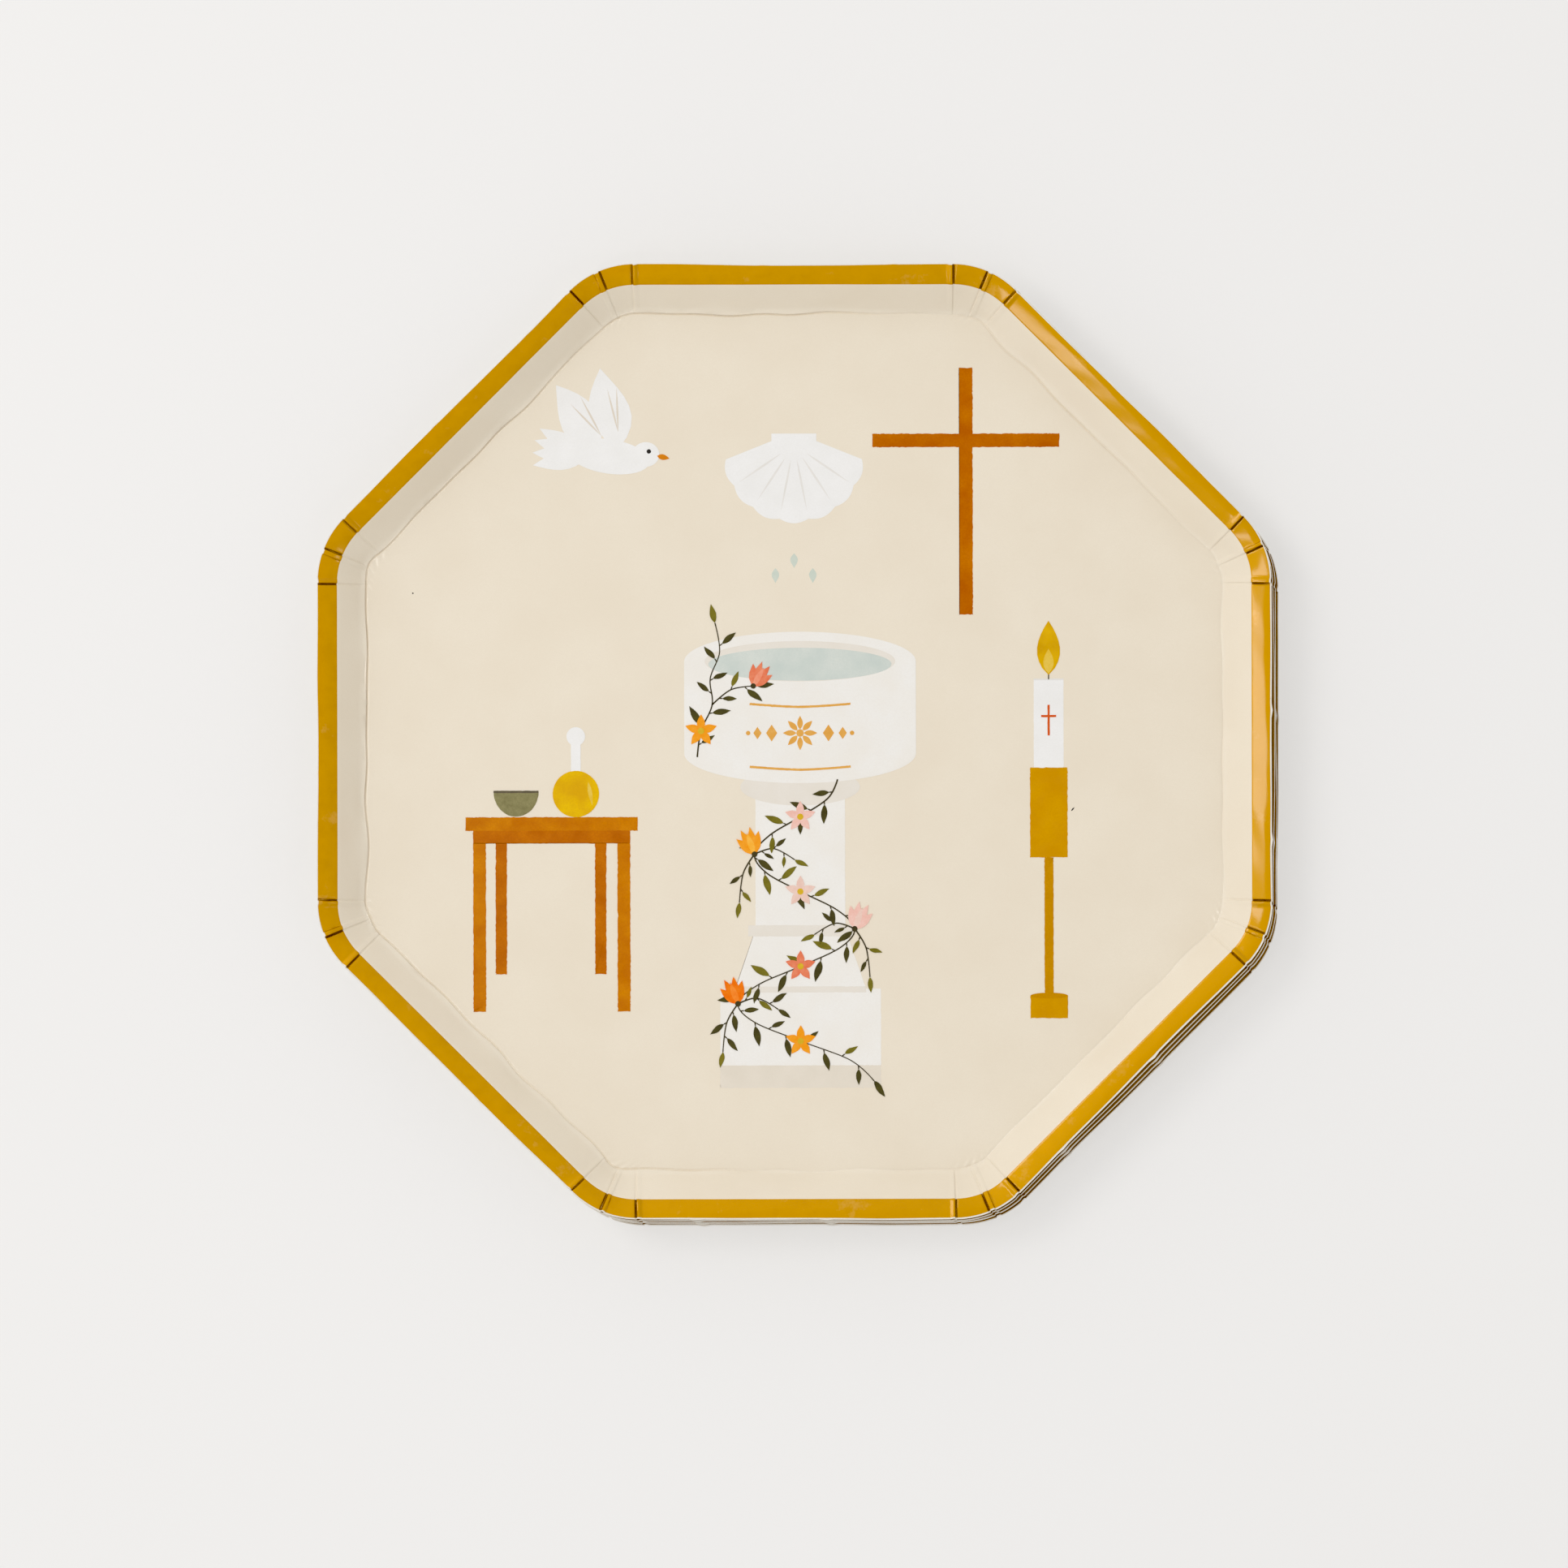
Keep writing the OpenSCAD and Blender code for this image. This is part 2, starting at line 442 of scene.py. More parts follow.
class Finish:
    """A material under construction, with short ways to add the nodes that the finishes share."""

    def __init__(self, name):
        self.material = bpy.data.materials.new(name)
        self.material.use_nodes = True
        self.tree = self.material.node_tree
        self.shader = self.tree.nodes["Principled BSDF"]
        self.place = self.tree.nodes.new("ShaderNodeTexCoord").outputs["Object"]

    def join(self, source, node, socket):
        self.tree.links.new(source, node.inputs[socket])

    def noise(self, size, detail=3, stretch=(1, 1, 1), contrast=0.5):
        """Noise whose patches are about size millimetres across, longer where stretch is under 1."""
        mapping = self.tree.nodes.new("ShaderNodeMapping")
        mapping.inputs["Scale"].default_value = stretch
        self.join(self.place, mapping, "Vector")
        node = self.tree.nodes.new("ShaderNodeTexNoise")
        node.inputs["Scale"].default_value = 1 / (size * MM)
        node.inputs["Detail"].default_value = detail
        node.inputs["Roughness"].default_value = contrast
        self.join(mapping.outputs["Vector"], node, "Vector")
        return node.outputs["Fac"]

    def specks(self, size, share):
        """Scattered small spots, 1 in a spot and 0 elsewhere."""
        node = self.tree.nodes.new("ShaderNodeTexVoronoi")
        node.inputs["Scale"].default_value = 1 / (size * MM)
        self.join(self.place, node, "Vector")
        return self.between(node.outputs["Distance"], share, share * 0.5)

    def covered(self, reach):
        """How open a place is: 1 in the open, less where something lies over it within a reach."""
        node = self.tree.nodes.new("ShaderNodeAmbientOcclusion")
        node.samples = 6
        node.inputs["Distance"].default_value = reach * MM
        return node.outputs["AO"]

    def between(self, value, low, high, out_low=0.0, out_high=1.0):
        """A value stretched from one range to another, and held inside it."""
        node = self.tree.nodes.new("ShaderNodeMapRange")
        node.inputs["From Min"].default_value = low
        node.inputs["From Max"].default_value = high
        node.inputs["To Min"].default_value = out_low
        node.inputs["To Max"].default_value = out_high
        self.join(value, node, "Value")
        return node.outputs["Result"]

    def mix(self, share, first, second):
        """One colour turning into the other. Either may be a colour or a socket."""
        node = self.tree.nodes.new("ShaderNodeMix")
        node.data_type = "RGBA"
        self.join(share, node, "Factor")
        for index, colour in ((MIX_FIRST, first), (MIX_SECOND, second)):
            if isinstance(colour, bpy.types.NodeSocket):
                self.tree.links.new(colour, node.inputs[index])
            else:
                node.inputs[index].default_value = colour
        return node.outputs[MIX_RESULT]

    def add(self, first, second, share):
        """first plus a share of second."""
        node = self.tree.nodes.new("ShaderNodeMath")
        node.operation = "MULTIPLY_ADD"
        self.join(second, node, 0)
        node.inputs[1].default_value = share
        self.join(first, node, 2)
        return node.outputs[0]

    def set(self, **values):
        """Sets plain values on the shader; coat_weight stands for Coat Weight."""
        for key, value in values.items():
            self.shader.inputs[key.replace("_", " ").title().replace("Ior", "IOR")].default_value = value

    def finish(self, colour, roughness, height, depth):
        """Joins colour, roughness and a height in millimetres to the shader."""
        self.join(colour, self.shader, "Base Color")
        self.join(roughness, self.shader, "Roughness")
        node = self.tree.nodes.new("ShaderNodeBump")
        node.inputs["Strength"].default_value = 1
        node.inputs["Distance"].default_value = depth * MM
        self.join(height, node, "Height")
        self.join(node.outputs["Normal"], self.shader, "Normal")
        return self.material


def varnished(name, base, light, dark, patch=9.0, grain=0.5, depth=0.012):
    """Ink or printed ground under a thin varnish: slow clouds, dry grain and a faint orange peel."""
    f = Finish(name)
    clouds = f.between(f.noise(patch, 4), *CORE_SWING)
    fine = f.between(f.noise(grain, 2, contrast=0.7), *SWING)
    ground = f.mix(clouds, linear(*base), linear(*light))
    colour = f.mix(f.between(fine, 0, 1, 0, 0.35), ground, linear(*dark))
    roughness = f.between(f.noise(2.5, 2), *SWING, 0.34, 0.46)
    peel = f.add(f.noise(1.6, 2), f.noise(0.18, 2), 0.25)
    f.set(coat_weight=0.5, coat_roughness=0.09, coat_ior=1.48, specular_ior_level=0.25)
    return f.finish(colour, roughness, peel, depth)


def raw_board(name, base, shade, layered):
    """Uncoated white board: felted fibres, a few darker flecks, and plies on the cut edge."""
    f = Finish(name)
    stretch = (1, 1, 6) if layered else (1, 0.35, 1)
    fibres = f.noise(0.35, 4, stretch, 0.7)
    clouds = f.noise(6, 3)
    flecks = f.specks(2.2, 0.1)
    ground = f.mix(f.between(f.add(fibres, clouds, 0.6), 0.6, 1.0), linear(*shade), linear(*base))
    colour = f.mix(f.between(flecks, 0, 1, 0, 0.35), ground, linear(186, 170, 146))
    roughness = f.between(clouds, *SWING, 0.78, 0.9)
    f.set(specular_ior_level=0.25, sheen_weight=0.1)
    return f.finish(colour, roughness, f.add(fibres, f.noise(0.12, 2), 0.5), 0.03)


def gold_foil():
    """Hot-stamped foil: uneven lustre, rubbed paler places, an orange peel and fine rub marks. Painted shade
    darkens it where another plate half covers it, which paints the dark shadowed seams between the plates."""
    f = Finish("gold_foil")
    mottle = f.between(f.noise(3.5, 5, contrast=0.65), *CORE_SWING)
    rubbed = f.between(f.add(f.noise(9, 4, contrast=0.7), f.noise(0.5, 2), 0.12), 0.66, 0.76)
    gold = f.mix(mottle, linear(206, 152, 3), linear(216, 165, 5))
    worn = f.mix(f.between(rubbed, 0, 1, 0, 0.35), gold, linear(224, 180, 96))
    # painted shade: the colour goes dark brown where an occlusion measure finds another plate lying over the
    # foil, at the mouth of the gap
    openness = f.covered(4.5)
    painted_seam_shade = linear(72, 36, 8)
    foil_with_painted_shade = f.mix(f.between(openness, 0.6, 0.82), painted_seam_shade, worn)
    colour = f.mix(f.between(openness, 0.28, 0.44), worn, foil_with_painted_shade)
    fine = f.noise(0.22, 3, contrast=0.7)
    roughness = f.between(f.add(mottle, fine, 0.5), 0.2, 1.3, 0.56, 0.7)
    peel = f.add(f.noise(3.0, 3), fine, 0.1)
    f.set(metallic=1.0, coat_weight=0.72, coat_roughness=0.08, coat_ior=1.52)
    return f.finish(colour, roughness, peel, 0.03)


# inks of the printed picture: base, light and dark in sRGB, then the size of the clouds and the grain
INKS = {
    "white": ((243, 242, 241), (239, 238, 236), (233, 231, 228), 7),
    "marble": ((242, 240, 236), (240, 236, 229), (234, 229, 221), 11),
    "marble_shade": ((234, 228, 219), (231, 224, 213), (229, 222, 210), 5),
    "white_shade": ((233, 230, 226), (229, 226, 221), (226, 222, 216), 3),
    "stone_shade": ((232, 223, 209), (227, 218, 203), (225, 216, 201), 6),
    "water": ((202, 211, 205), (219, 223, 216), (196, 206, 200), 9),
    "drop": ((203, 212, 200), (212, 218, 206), (196, 207, 196), 1),
    "wood": ((196, 113, 6), (213, 134, 10), (170, 92, 5), 6, 0.4),
    "wood_dark": ((186, 100, 6), (202, 116, 8), (160, 82, 5), 5, 0.4),
    "cross": ((182, 92, 6), (202, 118, 10), (160, 76, 5), 9, 0.4),
    "cup": ((132, 126, 84), (148, 142, 98), (108, 102, 68), 1.5, 0.35),
    "cup_dark": ((92, 84, 66), (110, 100, 78), (80, 72, 58), 1.5, 0.35),
    "oil": ((236, 192, 14), (220, 168, 16), (206, 154, 14), 5),
    "brass": ((214, 157, 10), (206, 146, 12), (196, 138, 10), 8),
    "brass_dark": ((206, 146, 10), (196, 136, 10), (176, 118, 10), 4),
    "flame": ((226, 178, 12), (206, 156, 10), (216, 168, 40), 4),
    "flame_light": ((232, 200, 90), (228, 190, 70), (222, 182, 50), 2),
    "gold_line": ((226, 166, 78), (232, 178, 96), (214, 150, 60), 2),
    "red_line": ((214, 88, 30), (220, 100, 40), (200, 76, 24), 2),
    "feather": ((222, 212, 198), (226, 216, 202), (216, 206, 190), 2),
    "dark": ((42, 38, 36), (52, 48, 44), (34, 30, 28), 1),
    "beak": ((214, 128, 24), (222, 140, 34), (200, 112, 18), 1),
    "stem": ((64, 56, 34), (78, 70, 40), (52, 46, 30), 2),
    "leaf": ((72, 66, 34), (88, 82, 38), (56, 52, 30), 2, 0.3),
    "leaf_olive": ((116, 108, 34), (134, 124, 44), (92, 86, 32), 2, 0.3),
    "coral": ((230, 118, 82), (238, 146, 110), (216, 100, 66), 1.5),
    "coral_light": ((240, 148, 116), (244, 166, 136), (230, 124, 92), 1.5),
    "orange_light": ((250, 178, 52), (252, 190, 80), (242, 160, 34), 1.5),
    "deep_orange_light": ((246, 132, 40), (250, 150, 60), (236, 112, 22), 1.5),
    "orange": ((244, 156, 30), (248, 168, 52), (234, 140, 14), 1.5),
    "deep_orange": ((240, 112, 14), (246, 134, 30), (226, 94, 8), 1.5),
    "pink": ((240, 192, 178), (245, 208, 196), (232, 172, 158), 1.5),
    "blush": ((236, 202, 188), (242, 214, 202), (228, 184, 168), 1.5),
    "pollen": ((216, 176, 40), (226, 188, 60), (196, 156, 24), 1),
}


class Palette:
    """Every finish, made once."""

    def __init__(self):
        cream = ((238, 228, 210), (235, 224, 205), (231, 219, 199))
        self.cream = varnished("cream_print", *cream, patch=22, grain=0.35, depth=0.01)
        self.board = raw_board("white_board", (243, 240, 232), (232, 227, 216), False)
        self.edge = raw_board("board_cut_edge", (246, 242, 232), (214, 204, 186), True)
        self.foil = gold_foil()
        for name, look in INKS.items():
            setattr(self, name, varnished(f"ink_{name}", *look))


# ------------------------------------------------ drawing the print

FILM = 0.03  # thickness of one film of ink
POINT_GAP = 0.5  # an inked outline has a point about this often
PETAL_STEPS = 8
STEM_WIDTH = 0.42
FONT_X = 1.5  # the font stands a little to the right of the middle
# how far a brush leaves an outline uneven
FINE_BRUSH = 0.02
SOFT_BRUSH = 0.03
BROAD_BRUSH = 0.04
DRY_BRUSH = 0.05
# how high the parts of the vine lie, counted in films
STEM_LAYER = 3.6
STALK_LAYER = 4
LEAF_LAYER = 4.4
FLOWER_LAYER = 5
INNER_LAYER = 6.2
HEART_LAYER = 6.5


def curve(points, closed=True):
    """A line through given points. A point with a third value is a sharp corner."""
    n = len(points)
    flat = np.array([p[:2] for p in points], float)
    pull = np.zeros_like(flat)
    for i, p in enumerate(points):
        if len(p) == 2 and (closed or 0 < i < n - 1):
            pull[i] = (flat[(i + 1) % n] - flat[i - 1]) / 2
    line = []
    for i in range(n if closed else n - 1):
        a, b = flat[i], flat[(i + 1) % n]
        steps = max(2, int(np.linalg.norm(b - a) / POINT_GAP))
        for k in range(steps):
            t = k / steps
            h = 2 * t**3 - 3 * t**2 + 1
            leaving = (t**3 - 2 * t**2 + t) * pull[i]
            arriving = (t**3 - t**2) * pull[(i + 1) % n]
            line.append(h * a + (1 - h) * b + leaving + arriving)
    if not closed:
        line.append(flat[-1])
    return np.array(line)


def oval(x, y, across, high, tilt=0.0):
    """An ellipse from its middle and its two half widths."""
    steps = max(14, int(math.tau * max(across, high) / POINT_GAP))
    a = np.linspace(0, math.tau, steps, endpoint=False)
    c, s = math.cos(tilt), math.sin(tilt)
    u, v = across * np.cos(a), high * np.sin(a)
    return np.stack([x + u * c - v * s, y + u * s + v * c], axis=1)


def petal(x, y, angle, length, width, curl=0.0, sharp=1.0):
    """A pointed oval that grows from a point at an angle in degrees."""
    t = np.linspace(0, 1, PETAL_STEPS + 1)
    half = width / 2 * np.sin(math.pi * t**0.85) ** sharp  # widest a little before its middle
    middle = curl * length * np.sin(math.pi * t / 2) ** 2
    left = np.stack([t * length, middle + half], axis=1)
    right = np.stack([t * length, middle - half], axis=1)[-2:0:-1]
    shape = np.concatenate([left, right])
    a = math.radians(angle)
    turn = np.array([[math.cos(a), math.sin(a)], [-math.sin(a), math.cos(a)]])
    return shape @ turn + (x, y)


def brush(points, start, end):
    """A stroke along a line, with its widths at both ends."""
    line = curve(points, closed=False)
    along = np.gradient(line, axis=0)
    along /= np.linalg.norm(along, axis=1)[:, None]
    side = np.stack([-along[:, 1], along[:, 0]], axis=1)
    half = np.linspace(start, end, len(line))[:, None] / 2
    return np.concatenate([line + side * half, (line - side * half)[::-1]])


def box_outline(left, bottom, right, top):
    """A rectangle whose outline has many points."""
    return curve([(left, bottom, 1), (right, bottom, 1), (right, top, 1), (left, top, 1)])


class Print:
    """One motif of the printed picture: closed films of ink on the floor, in layers."""

    def __init__(self, name):
        self.name = name
        self.films = []

    def ink(self, outline, layer, material, rough=0.0):
        """Adds a film. layer is its height in films; rough is how far a dry brush leaves its edge uneven."""
        outline = np.asarray(outline, float)
        if rough:
            rng = np.random.default_rng(len(self.films) + len(self.name))
            outline = outline + rng.normal(0, rough, outline.shape)
        self.films.append((outline, layer, material))

    def mesh(self):
        """All the films as one mesh, each closed by itself."""
        mesh = bpy.data.meshes.new(self.name)
        materials = list(dict.fromkeys(m for _, _, m in self.films))
        vertices, polygons, slots = [], [], []
        for outline, layer, material in self.films:
            x, y = outline.T
            if np.sum(x * np.roll(y, -1) - np.roll(x, -1) * y) < 0:
                outline = outline[::-1]
            n, base = len(outline), len(vertices)
            for height in (SHEET, SHEET + FILM * layer):
                vertices += [(u * MM, v * MM, height * MM) for u, v in outline]
            polygons.append([base + n + i for i in range(n)])
            polygons.append([base + i for i in reversed(range(n))])
            for i in range(n):
                j = (i + 1) % n
                polygons.append((base + i, base + j, base + n + j, base + n + i))
            slots += [materials.index(material)] * (n + 2)
        mesh.from_pydata(vertices, [], polygons)
        for material in materials:
            mesh.materials.append(material)
        mesh.polygons.foreach_set("material_index", slots)
        mesh.update()
        return mesh


def dove(ink):
    """A plain white dove: a body, a fanned tail and two raised wings."""
    p = Print("dove")
    for i, angle in enumerate((150, 163, 176, 189)):
        p.ink(petal(-55, 76.5, angle, length=15, width=5), 1 + 0.1 * i, ink.white)
    p.ink(petal(-52, 78, 128, length=21, width=10.5, curl=-0.08), 1.5, ink.white)
    p.ink(petal(-47, 78.5, 98, length=22, width=11, curl=0.08), 1.6, ink.white)
    p.ink(oval(-49.5, 76.5, across=11, high=4.6, tilt=-0.15), 1.8, ink.white)
    p.ink(oval(-39.6, 77, across=3.6, high=3.3), 2, ink.white)
    for x, y, angle in ((-51.5, 82, 118), (-51.5, 82, 134), (-47, 83, 92), (-47, 83, 104)):
        p.ink(petal(x, y, angle, length=12, width=0.5), 2, ink.feather)
    p.ink(petal(-36.6, 76.6, -12, length=3.4, width=1.5), 2.2, ink.beak)
    p.ink(oval(-38.8, 77.8, across=0.6, high=0.6), 2.5, ink.dark)
    return p


def shell(ink):
    """A scallop shell with three drops of water under it."""
    p = Print("shell")
    ribs = 7
    x, y = 0, 79.5
    fan = math.radians(156)
    spread = np.linspace(-fan / 2, fan / 2, 127)
    waves = np.abs(np.sin(spread / fan * math.pi * ribs + ribs * math.pi / 2))
    reach = 18.2 + 2.0 * np.cos(spread) + 0.8 * waves
    rim = np.stack([x + reach * np.sin(spread), y - reach * np.cos(spread)], axis=1)
    p.ink(np.concatenate([rim, [(x + 6, y + 1), (x - 6, y + 1)]]), 1, ink.white)
    p.ink(box_outline(x - 6, y - 0.6, x + 6, y + 3), 1.2, ink.white)
    for i in range(1, ribs):
        a = (i / ribs - 0.5) * fan - math.pi / 2
        rib = petal(x + 4 * math.cos(a), y + 4 * math.sin(a), math.degrees(a), length=14, width=0.55)
        p.ink(rib, 1.5, ink.white_shade)
    for side in (-1, 0, 1):
        p.ink(petal(x + 5 * side, 50.5 - 4 * abs(side), -90, length=4, width=2.0, sharp=1.3), 1, ink.drop)
    return p


def cross(ink):
    """A plain straight cross."""
    p = Print("cross")
    p.ink(box_outline(44.2, 34, 47.8, 100), 1, ink.cross, DRY_BRUSH)
    p.ink(box_outline(21, 78.8, 71, 82.4), 1.3, ink.cross, DRY_BRUSH)
    return p


def font(ink):
    """A plain round stone font with water in its basin."""
    p = Print("font")
    x = FONT_X
    foot, neck, waist = 21.5, 12, 17.5  # half widths
    basin, basin_foot, basin_top, depth = 31, -3, 21.5, 8
    slope = curve([(x - neck, -50, 1), (x + neck, -50, 1), (x + waist, -66, 1), (x - waist, -66, 1)])
    p.ink(box_outline(x - foot, -92.5, x + foot, -86), 1, ink.stone_shade, DRY_BRUSH)
    p.ink(box_outline(x - foot, -86.5, x + foot, -66), 1.2, ink.marble, SOFT_BRUSH)
    p.ink(slope, 1.4, ink.marble, SOFT_BRUSH)
    p.ink(box_outline(x - neck, -50, x + neck, -8), 1.5, ink.marble, SOFT_BRUSH)
    p.ink(box_outline(x - neck - 2, -52, x + neck + 2, -49), 1.7, ink.marble_shade, SOFT_BRUSH)
    p.ink(box_outline(x - waist, -67, x + waist, -65.4), 1.7, ink.marble_shade, SOFT_BRUSH)
    p.ink(oval(x, -12, across=16, high=5), 1.7, ink.marble_shade)
    p.ink(oval(x, basin_foot, basin, depth), 1.8, ink.marble)
    p.ink(box_outline(x - basin, basin_foot, x + basin, basin_top), 1.9, ink.marble)
    p.ink(oval(x, basin_top, basin, depth), 2, ink.marble)
    p.ink(oval(x, 21.6, across=25.5, high=5.4), 2.2, ink.marble_shade)
    p.ink(oval(x, 20.8, across=24.5, high=4.4), 2.5, ink.water)
    return p


def ornament(ink):
    """A plain rosette between lozenges, in gold ink, on the front of the basin."""
    p = Print("ornament")
    x, y = FONT_X, 2.4
    for i in range(8):
        degrees = 45 * i
        a = math.radians(degrees)
        p.ink(petal(x + math.cos(a), y + math.sin(a), degrees, length=3.6, width=1.5), 3, ink.gold_line)
    p.ink(oval(x, y, across=1.0, high=1.0), 3.4, ink.gold_line)
    for side in (-1, 1):
        for gap, size in ((7.6, 1.5), (11.4, 1.1)):
            cx = x + side * gap
            high = size * 1.5
            lozenge = curve([(cx, y - high, 1), (cx + size, y, 1), (cx, y + high, 1), (cx - size, y, 1)])
            p.ink(lozenge, 3, ink.gold_line)
        p.ink(oval(x + side * 13.9, y, across=0.6, high=0.6), 3, ink.gold_line)
    for edge_y in (10.2, -6.6):
        stroke = brush([(x - 13.5, edge_y), (x, edge_y - 0.8), (x + 13.5, edge_y)], start=0.6, end=0.6)
        p.ink(stroke, 3, ink.gold_line, FINE_BRUSH)
    return p


def table(ink):
    """A plain wooden table."""
    p = Print("table")
    for left in (-80, -53.4):
        p.ink(box_outline(left, -62, left + 3, -24), 1.4, ink.wood_dark, DRY_BRUSH)
    for left in (-86, -47.4):
        p.ink(box_outline(left, -72, left + 3.4, -22), 1.8, ink.wood, DRY_BRUSH)
    p.ink(box_outline(-86, -27, -44, -23.4), 2, ink.wood_dark, BROAD_BRUSH)
    p.ink(box_outline(-88, -23.6, -42, -20), 2.2, ink.wood, BROAD_BRUSH)
    return p


def vessels(ink):
    """A bowl and a round bottle of oil on the table."""
    p = Print("vessels")
    bowl_x, brim_y, bowl = -74.5, -13.2, 6
    a = np.linspace(math.pi, math.tau, 24)
    p.ink(np.stack([bowl_x + bowl * np.cos(a), brim_y + 6.6 * np.sin(a)], axis=1), 2.8, ink.cup, SOFT_BRUSH)
    brim = [(bowl_x - bowl, brim_y), (bowl_x, brim_y), (bowl_x + bowl, brim_y)]
    p.ink(brush(brim, start=0.6, end=0.6), 3.1, ink.cup_dark, FINE_BRUSH)
    bottle_x = -58.5
    p.ink(box_outline(-59.8, -10, -57.2, 0), 2.8, ink.white, FINE_BRUSH)
    p.ink(oval(bottle_x, 1.6, across=2.5, high=2.5), 3, ink.white)
    p.ink(oval(bottle_x, -13.8, across=6.2, high=6.2), 3.1, ink.oil, FINE_BRUSH)
    p.ink(petal(-55.2, -10.6, -80, length=6.4, width=1.1), 3.4, ink.flame_light)
    return p


def candle(ink):
    """A lit candle with a small plain cross, on a tall brass stand."""
    p = Print("candle")
    x = 68
    wide, holder, stand = 4, 5, 1.2  # half widths
    wax_top = 16.6
    p.ink(box_outline(x - wide, -7.5, x + wide, 16.8), 1, ink.white, FINE_BRUSH)
    wax_line = [(x - wide, wax_top), (x, wax_top), (x + wide, wax_top)]
    p.ink(brush(wax_line, start=0.4, end=0.4), 1.5, ink.white_shade)
    p.ink(box_outline(x - 0.15, wax_top, x + 0.15, 19.2), 2, ink.stem)
    p.ink(petal(x, 17.8, 90, length=14.5, width=6.2, sharp=0.9), 2.2, ink.flame)
    p.ink(petal(x, 18.2, 90, length=6.6, width=2.8), 2.5, ink.flame_light)
    p.ink(box_outline(x - 0.3, 1.6, x + 0.3, 9.8), 2, ink.red_line, FINE_BRUSH)
    p.ink(box_outline(x - 2, 6.5, x + 2, 7.1), 2.2, ink.red_line, FINE_BRUSH)
    p.ink(box_outline(x - holder, -31, x + holder, -7), 1.6, ink.brass, BROAD_BRUSH)
    p.ink(box_outline(x - stand, -68, x + stand, -31), 1.4, ink.brass_dark, BROAD_BRUSH)
    p.ink(box_outline(x - holder, -74, x + holder, -68), 1.8, ink.brass, BROAD_BRUSH)
    p.ink(oval(x, -68, across=holder, high=0.8), 2.1, ink.brass_dark)
    return p


class Vine:
    """Stems with leaves on both sides, and flowers, drawn into one motif."""

    def __init__(self, name, ink, seed):
        self.print = Print(name)
        self.ink = ink
        self.rng = random.Random(seed)

    def leaf(self, x, y, angle, length):
        """A leaf on a short stalk."""
        tone = self.ink.leaf_olive if self.rng.random() < 0.4 else self.ink.leaf
        stalk = 0.9
        a = math.radians(angle)
        end_x, end_y = x + stalk * math.cos(a), y + stalk * math.sin(a)
        line = [(x, y), ((x + end_x) / 2, (y + end_y) / 2), (end_x, end_y)]
        self.print.ink(brush(line, start=0.3, end=0.3), STALK_LAYER, self.ink.stem)
        shape = petal(end_x, end_y, angle, length * 1.12, length * 0.37, self.rng.uniform(-0.14, 0.14))
        self.print.ink(shape, LEAF_LAYER, tone, FINE_BRUSH)

    def stem(self, points, gap, size, skip):
        """A stem through the points. Leaves of a size stand gap apart, on alternate sides, after the first
        skip, and one more ends the stem."""
        line = curve(points, closed=False)
        self.print.ink(brush(points, STEM_WIDTH, STEM_WIDTH * 0.6), STEM_LAYER, self.ink.stem)
        run = np.concatenate([[0], np.cumsum(np.linalg.norm(np.diff(line, axis=0), axis=1))])
        side = self.rng.choice((-1, 1))
        place = skip
        while place < run[-1] - 1.5:
            i = int(np.searchsorted(run, place))
            along = line[min(i + 1, len(line) - 1)] - line[i - 1]
            heading = math.degrees(math.atan2(along[1], along[0]))
            angle = heading + side * self.rng.uniform(38, 62)
            self.leaf(*line[i], angle, size * self.rng.uniform(0.75, 1.15))
            side = -side
            place += gap * self.rng.uniform(0.8, 1.25)
        along = line[-1] - line[-3]
        self.leaf(*line[-1], math.degrees(math.atan2(along[1], along[0])), size)

    def tulip(self, x, y, angle, size, tone, shade):
        """A half-open flower seen from the side: pointed petals in an even fan."""
        for spread, share in ((-30, 0.9), (30, 0.9), (-10, 1.05), (10, 1.05)):
            outer = petal(x, y, angle + spread, size * share, size * 0.34)
            self.print.ink(outer, FLOWER_LAYER + share, tone, FINE_BRUSH)
        inner = petal(x, y, angle, size * 0.86, size * 0.24)
        self.print.ink(inner, INNER_LAYER, shade, FINE_BRUSH)
        self.print.ink(oval(x, y, size * 0.11, size * 0.11), HEART_LAYER, self.ink.stem)

    def blossom(self, x, y, size, tone):
        """An open round flower."""
        petals = 5
        for i in range(petals):
            shape = petal(x, y, 90 + 360 * i / petals, size, size * 0.5)
            self.print.ink(shape, FLOWER_LAYER + 0.1 * i, tone, FINE_BRUSH)
        self.print.ink(oval(x, y, size * 0.2, size * 0.2), HEART_LAYER, self.ink.pollen)


